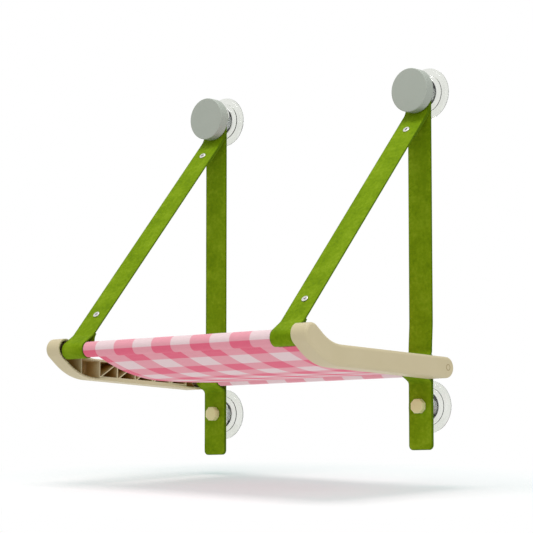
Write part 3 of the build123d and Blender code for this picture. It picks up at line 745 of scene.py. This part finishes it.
# %% Strap
def coated_webbing():
    """Green mottled by two sizes of noise, darker by the inset near the edge, with a fine grain bump."""
    made, tree, shader = material("coated_webbing_green", Roughness=0.7, IOR=1.48, Specular_IOR_Level=0.05)
    flat = add(tree, "UVMap", uv_map="flat").outputs["UV"]
    drift = add(tree, "TexNoise", {"Vector": flat, "Scale": per_metre(26), "Detail": 3.0, "Roughness": 0.6})
    cloud = add(tree, "TexNoise", {"Vector": flat, "Scale": per_metre(5), "Detail": 5.0, "Roughness": 0.65})
    both = add(tree, "Math", {0: drift.outputs[0], 1: cloud.outputs[0]}, operation="ADD")
    spread = add(tree, "MapRange", {"Value": both.outputs[0], "From Min": 0.72, "From Max": 1.28})
    green = add(tree, "ValToRGB", {"Fac": spread.outputs[0]})
    stops = green.color_ramp.elements
    stops[0].position, stops[0].color = 0.0, srgb("#638104")
    stops[1].position, stops[1].color = 1.0, srgb("#839F1B")
    stops.new(0.5).color = srgb("#73910A")
    inset = add(tree, "Attribute", attribute_name="inset").outputs["Fac"]
    edge = add(tree, "MapRange", {"Value": inset, "From Min": 0.5 * MM, "From Max": 1.3 * MM,
                                  "To Min": 1.0, "To Max": 0.0}, interpolation_type="SMOOTHSTEP")
    sealed = add(tree, "Mix", {0: edge.outputs[0], 6: green.outputs[0], 7: srgb("#557106")}, data_type="RGBA")
    tree.links.new(sealed.outputs[2], shader.inputs["Base Color"])
    grain = add(tree, "TexVoronoi", {"Vector": flat, "Scale": per_metre(1.3)}, feature="SMOOTH_F1")
    fine = add(tree, "TexNoise", {"Vector": flat, "Scale": per_metre(0.9), "Detail": 4.0})
    relief = add(tree, "Math", {0: grain.outputs["Distance"], 1: fine.outputs[0]}, operation="ADD")
    bump = add(tree, "Bump", {"Height": relief.outputs[0], "Strength": 0.35, "Distance": 0.12 * MM})
    tree.links.new(bump.outputs[0], shader.inputs["Normal"])
    return made


strap_finish = coated_webbing()
for piece in straps:
    piece.data.materials.append(strap_finish)
print("straps finished:", len(straps))

# %% [markdown]
# The cloth is yarn-dyed gingham: the pink and white yarns cross, so the check has three tones. Where
# pink crosses pink it is deepest, where pink crosses white it is half, and white on white is palest.
# The bands are worked out on the flat cloth, and a slub noise stretched along the yarns breaks them up.


# %% Sling cloth
def gingham():
    """Three tones from two square waves, one along each direction of the cloth.

    A triangle wave with the period of two bands crosses its middle value at every band's edge, and a
    narrow ramp there makes it a square wave with a soft edge.
    """
    edge_blur, yarn, wave_bands = 0.35, 0.9, 20
    made, tree, shader = material("woven_cotton_gingham", Roughness=0.86, Sheen_Weight=0.1,
                                  Sheen_Roughness=0.5, Specular_IOR_Level=0.1)
    flat = add(tree, "UVMap", uv_map="flat").outputs["UV"]
    drawn = add(tree, "Mapping", {"Vector": flat, "Scale": (1.0, 9.0, 1.0)})
    slub = add(tree, "TexNoise", {"Vector": drawn.outputs[0], "Scale": per_metre(9), "Detail": 6.0,
                                  "Roughness": 0.7})
    parts = add(tree, "SeparateXYZ", {0: flat}).outputs
    pink = []
    for along, first_edge, band in ((parts[0], -133.3, 33.4), (parts[1], 19.3, 28.3)):
        shifted = add(tree, "Math", {0: along, 1: (band / 2 - first_edge) * MM}, operation="ADD")
        wave = add(tree, "Math", {0: shifted.outputs[0], 1: band * MM}, operation="PINGPONG")
        square = add(tree, "MapRange", {
            "Value": wave.outputs[0], "From Min": (band / 2 - edge_blur) * MM,
            "From Max": (band / 2 + edge_blur) * MM, "To Min": 0.5, "To Max": 0.0})
        pink.append(square.outputs[0])
    count = add(tree, "Math", {0: pink[0], 1: pink[1]}, operation="ADD")
    tone = add(tree, "ValToRGB", {"Fac": count.outputs[0]})
    stops = tone.color_ramp.elements
    stops[0].position, stops[0].color = 0.0, srgb("#EBD2D5")
    stops[1].position, stops[1].color = 1.0, srgb("#E86B86")
    stops.new(0.5).color = srgb("#EAA0AD")
    shade = add(tree, "MapRange", {"Value": slub.outputs[0], "From Min": 0.3, "From Max": 0.7,
                                   "To Min": 0.93, "To Max": 1.05})
    woven = add(tree, "VectorMath", {0: tone.outputs[0], 3: shade.outputs[0]}, operation="SCALE")
    tree.links.new(woven.outputs[0], shader.inputs["Base Color"])
    weave = {"Vector": flat, "Scale": per_metre(yarn) / wave_bands, "Distortion": 0.6, "Detail": 1.0}
    warp, weft = (add(tree, "TexWave", weave, bands_direction=way).outputs["Fac"] for way in "XY")
    threads = add(tree, "Math", {0: warp, 1: weft}, operation="ADD")
    relief = add(tree, "Math", {0: threads.outputs[0], 1: slub.outputs[0]}, operation="ADD")
    bump = add(tree, "Bump", {"Height": relief.outputs[0], "Strength": 0.3, "Distance": 0.12 * MM})
    tree.links.new(bump.outputs[0], shader.inputs["Normal"])
    return made


panel.data.materials.clear()
panel.data.materials.append(gingham())
thread_finish, thread_tree, thread_shader = material("polyester_thread_pink", Roughness=0.6, Sheen_Weight=0.2)
thread_noise = add(thread_tree, "TexNoise", {
    "Vector": add(thread_tree, "TexCoord").outputs["Object"], "Scale": per_metre(1.2), "Detail": 2.0})
thread_tone = add(thread_tree, "Mix", {0: thread_noise.outputs[0], 6: srgb("#E8A3B0"), 7: srgb("#F2C2CB")},
                  data_type="RGBA")
thread_tree.links.new(thread_tone.outputs[2], thread_shader.inputs["Base Color"])
thread.data.materials.append(thread_finish)
print("cloth finished with", panel.data.materials[0].name)

# %% [markdown]
# The rails, knobs, nuts and plugs are moulded plastic. The mould was spark eroded, which leaves a very
# fine, even matt grain, and the colour drifts a little where the plastic cooled at different speeds.
# Light that reaches the pockets between the rails' ribs has passed through the thin walls or bounced
# off them, which leaves it brown. That warm, darker shade in closed corners is painted into the colour.


# %% Moulded plastics
def open_share(tree, reach, closed, open_up):
    """0 in closed corners of the piece itself and 1 on its open faces, by how much lies within reach: the
    mask of painted shade.
    """
    share = add(tree, "AmbientOcclusion", {"Distance": reach * MM}, samples=8, only_local=True).outputs["AO"]
    return add(tree, "MapRange", {"Value": share, "From Min": closed, "From Max": open_up}).outputs[0]


def moulded_plastic(name, light, dark, roughness, painted_shade=None):
    """A colour between two close tones, by a slow noise, over an even matt grain.

    The last argument gives the painted shade of corners that little light reaches, as between ribs.
    """
    made, tree, shader = material(name, Roughness=roughness, IOR=1.49)
    place = add(tree, "TexCoord").outputs["Object"]
    drift = add(tree, "TexNoise", {"Vector": place, "Scale": per_metre(40), "Detail": 3.0})
    tone = add(tree, "Mix", {0: drift.outputs[0], 6: srgb(dark), 7: srgb(light)}, data_type="RGBA")
    # Painted shade: the piece's own closed corners are darkened towards the shade tone.
    if painted_shade:
        share = open_share(tree, reach=40, closed=0.1, open_up=0.62)
        tone = add(tree, "Mix", {0: share, 6: srgb(painted_shade), 7: tone.outputs[2]}, data_type="RGBA")
    tree.links.new(tone.outputs[2], shader.inputs["Base Color"])
    eroded = add(tree, "TexNoise", {"Vector": place, "Scale": per_metre(0.8), "Detail": 3.0,
                                    "Roughness": 0.6})
    bump = add(tree, "Bump", {"Height": eroded.outputs[0], "Strength": 0.15, "Distance": 0.05 * MM})
    tree.links.new(bump.outputs[0], shader.inputs["Normal"])
    return made


# The rails' last tone is painted shade for the closed corners between ribs.
finishes = {
    "rail_plastic": moulded_plastic("moulded_polypropylene_cream", "#D0C39F", "#C8BB94", 0.5, painted_shade="#A27927"),
    "knob_plastic": moulded_plastic("moulded_nylon_grey_sage", "#A9B0A6", "#A2A99E", 0.55),
    "nut_plastic": moulded_plastic("moulded_nylon_tan", "#DFD9A4", "#D7D198", 0.5),
    "plug_plastic": moulded_plastic("moulded_polyethylene_natural", "#E2DED2", "#D9D4C6", 0.5),
}
print("plastics", sorted(finishes))

# %% [markdown]
# The cap over each rod screw is pressed into the rail, flush with it. The seam round it holds shade, so
# the cap's rim is darker, by the distance from the rear rod's axis.

# %% Cap with a shaded seam
seam_inner, seam_outer = 3.1, 3.7
cap_finish, cap_tree, cap_shader = material("moulded_polypropylene_cap", Roughness=0.5, IOR=1.49)
place = add(cap_tree, "TexCoord").outputs["Object"]
beside_x = add(cap_tree, "VectorMath", {0: place, 1: (0, 1, 1)}, operation="MULTIPLY").outputs[0]
cap_axis = tuple((in_space(0.0, rear_rod) * MM).tolist())
from_axis = add(cap_tree, "VectorMath", {0: beside_x, 1: cap_axis}, operation="DISTANCE").outputs["Value"]
seam = add(cap_tree, "MapRange", {"Value": from_axis, "From Min": seam_inner * MM,
                                  "From Max": seam_outer * MM}).outputs[0]
cap_tone = add(cap_tree, "Mix", {0: seam, 6: srgb("#CCBF9A"), 7: srgb("#94804F")}, data_type="RGBA")
cap_tree.links.new(cap_tone.outputs[2], cap_shader.inputs["Base Color"])
print("cap's seam darkens from", seam_inner, "to", seam_outer, "mm off its axis")

# %% [markdown]
# Clear soft vinyl bends light like glass with a slightly lower index. It is never quite clear: a trace
# of grey makes the thick hub darker than the thin skirt, and the surface is a little greasy.

# %% Clear vinyl
vinyl, vinyl_tree, vinyl_shader = material("moulded_clear_vinyl", Roughness=0.12, IOR=1.5,
                                           Transmission_Weight=1.0)
place = add(vinyl_tree, "TexCoord").outputs["Object"]
haze = add(vinyl_tree, "TexNoise", {"Vector": place, "Scale": per_metre(14), "Detail": 3.0})
tint = add(vinyl_tree, "Mix", {0: haze.outputs[0], 6: srgb("#E0E2DB"), 7: srgb("#EAECE6")}, data_type="RGBA")
vinyl_tree.links.new(tint.outputs[2], vinyl_shader.inputs["Base Color"])
ripple = add(vinyl_tree, "Bump", {"Height": haze.outputs[0], "Strength": 0.1, "Distance": 0.2 * MM})
vinyl_tree.links.new(ripple.outputs[0], vinyl_shader.inputs["Normal"])
finishes["cup_plastic"] = vinyl
print("vinyl finished with", len(vinyl_tree.nodes), "nodes")

# %% [markdown]
# The rods are bright drawn steel tube, the studs and washers are zinc plated, the binding screws have
# a bright nickel plate, and the inserts are turned brass. Drawing and turning leave fine lines, which
# a noise stretched along one direction draws in the roughness. The screws' cross is painted darker, as
# painted shade in its recess.


# %% Metals
def metal(name, colour, roughness, line=(1.0, 1.0, 1.0), painted_shade=None):
    """One metal tone, whose roughness varies by a noise that is stretched along the lines.

    The last argument gives the painted shade of a recess, such as the cross of a screw.
    """
    made, tree, shader = material(name, Metallic=1.0, Base_Color=srgb(colour))
    # Painted shade: the piece's own recesses are darkened towards the shade tone.
    if painted_shade:
        share = open_share(tree, reach=1.5, closed=0.45, open_up=0.9)
        tone = add(tree, "Mix", {0: share, 6: srgb(painted_shade), 7: srgb(colour)}, data_type="RGBA")
        tree.links.new(tone.outputs[2], shader.inputs["Base Color"])
    place = add(tree, "TexCoord").outputs["Object"]
    drawn = add(tree, "Mapping", {"Vector": place, "Scale": line})
    scratch = add(tree, "TexNoise", {"Vector": drawn.outputs[0], "Scale": per_metre(1.5), "Detail": 4.0})
    rough = add(tree, "MapRange", {"Value": scratch.outputs[0], "To Min": roughness - 0.08,
                                   "To Max": roughness + 0.1})
    tree.links.new(rough.outputs[0], shader.inputs["Roughness"])
    bump = add(tree, "Bump", {"Height": scratch.outputs[0], "Strength": 0.1, "Distance": 0.03 * MM})
    tree.links.new(bump.outputs[0], shader.inputs["Normal"])
    return made


finishes["rod_steel"] = metal("drawn_steel_tube", "#C9C9C6", 0.26, line=(0.03, 1.0, 1.0))
finishes["stud_steel"] = metal("zinc_plated_steel", "#BEC1C2", 0.34)
# The screws' last tone is painted shade in the cross.
finishes["screw_steel"] = metal("nickel_plated_steel", "#D2D0CC", 0.3, painted_shade="#24221F")
finishes["insert_brass"] = metal("turned_brass", "#C9A75C", 0.32)
print("finishes", sorted(finishes))

# %% [markdown]
# The record says which finish each CAD node has. Copies and cups take theirs from it, and so does every
# node that is still shown.

# %% Give every remaining piece its finish
slots = {part["node"]: part["material_slot"] for part in frame["record"]["subparts"]}
for node, piece in copies.items():
    piece.data.materials.append(finishes[slots[node]])
for cup in cups:
    cup.data.materials.append(finishes["cup_plastic"])
for node, piece in nodes.items():
    if not piece.hide_render:
        for slot in piece.material_slots:
            slot.material = cap_finish if node.endswith("_screw_cap") else finishes[slots[node]]
print("CAD nodes shown:", sum(not piece.hide_render for piece in nodes.values()))

# %% [markdown]
# ## Floor, light and background
#
# The photograph is cut out on white, with a soft grey shadow under the bed. The floor slopes up a
# little away from the camera, which puts the shadow where the photograph has it. The camera sees paper
# that is partly lit, which draws the shadow, and partly glows, which sets how deep the shadow is. Their
# tints cancel the pink that the sling throws on it. Half a metre from the bed the paper fades to plain
# white, which hides its far edge. The object gets an even light back from it.

# %% Floor
ahead = np.array([-math.sin(camera_turn), math.cos(camera_turn), 0.0])
beside = np.array([math.cos(camera_turn), math.sin(camera_turn), 0.0])
floor_near, floor_far, floor_side = 1.8, 4.6, 2.2
shadow_distance, shadow_height, floor_slope = 3.05, -0.331, 0.0949
under_bed, fade_start, fade_end = (0.0, -0.11, -0.32), 0.32, 0.5


def floor_corner(distance, across):
    """A point of the sloping floor, this far ahead of the camera and this far to its right."""
    height = shadow_height + floor_slope * (distance - shadow_distance)
    corner = camera_place * [1, 1, 0] + ahead * distance + beside * across + np.array([0, 0, height])
    return tuple(corner.tolist())


def seen_directly(tree):
    """1 for rays that come from the camera, also by a mirror or through glass, and 0 for all others."""
    path = add(tree, "LightPath").outputs
    seen = add(tree, "Math", {0: path["Is Camera Ray"], 1: path["Is Glossy Ray"]}, operation="MAXIMUM")
    both = {0: seen.outputs[0], 1: path["Is Transmission Ray"]}
    return add(tree, "Math", both, operation="MAXIMUM").outputs[0]


floor_mesh = bpy.data.meshes.new("studio_floor")
floor_mesh.from_pydata([floor_corner(floor_near, -floor_side), floor_corner(floor_near, floor_side),
                        floor_corner(floor_far, floor_side), floor_corner(floor_far, -floor_side)],
                       [], [(0, 1, 2, 3)])
floor = bpy.data.objects.new("studio_floor", floor_mesh)
bpy.context.collection.objects.link(floor)

paper = bpy.data.materials.new("white_studio_paper")
paper.use_nodes = True
tree = paper.node_tree
tree.nodes.clear()
lit = add(tree, "Emission", {"Color": (0.84, 0.84, 0.84, 1)})
shaded = add(tree, "BsdfDiffuse", {"Color": (0.80, 0.66, 0.67, 1)})
glow = add(tree, "Emission", {"Color": (0.15, 0.325, 0.315, 1)})
sum_of_both = add(tree, "AddShader", {0: shaded.outputs[0], 1: glow.outputs[0]})
geometry = add(tree, "NewGeometry").outputs
away = add(tree, "VectorMath", {0: geometry["Position"], 1: under_bed}, operation="DISTANCE").outputs["Value"]
far = add(tree, "MapRange", {"Value": away, "From Min": fade_start, "From Max": fade_end},
          interpolation_type="SMOOTHSTEP")
plain = add(tree, "Emission")
near_bed = add(tree, "MixShader", {0: far.outputs[0], 1: sum_of_both.outputs[0], 2: plain.outputs[0]})
shown = add(tree, "MixShader", {0: seen_directly(tree), 1: lit.outputs[0], 2: near_bed.outputs[0]})
clear = add(tree, "BsdfTransparent")
below = add(tree, "MixShader", {0: geometry["Backfacing"], 1: shown.outputs[0], 2: clear.outputs[0]})
add(tree, "OutputMaterial", {0: below.outputs[0]})
floor_mesh.materials.append(paper)
print("floor slopes", round(math.degrees(math.atan(floor_slope)), 1), "degrees")

# %% [markdown]
# The light is that of a white studio: an even glow from all sides, a soft box overhead, which casts the
# shadow, and a large one above the camera and to its right. One strong lamp would draw hard edges that
# the photograph doesn't have. Past the paper the camera sees plain white.

# %% Background and lamps
world = bpy.data.worlds.new("studio")
bpy.context.scene.world = world
world.use_nodes = True
tree = world.node_tree
tree.nodes.clear()
soft_level = 0.63
level = add(tree, "MapRange", {"Value": seen_directly(tree), "To Min": soft_level, "To Max": 1.0})
sky = add(tree, "Background", {"Color": (1, 1, 1, 1), "Strength": level.outputs[0]})
add(tree, "OutputWorld", {0: sky.outputs[0]})


def lamp(name, place, towards, size, power):
    """A square soft lamp at place that shines towards a point."""
    light = bpy.data.lights.new(name, "AREA")
    light.size, light.energy = size, power
    made = bpy.data.objects.new(name, light)
    made.location = place
    made.rotation_euler = (Vector(towards) - Vector(place)).to_track_quat("-Z", "Y").to_euler()
    bpy.context.collection.objects.link(made)


lamp("overhead_softbox", (0.04, -0.65, 2.4), towards=(0, -0.15, 0), size=1.2, power=30)
lamp("front_softbox", (2.2, -1.7, 1.2), towards=(0, -0.1, 0), size=2.2, power=16.5)
bpy.context.scene.view_settings.view_transform = "Standard"
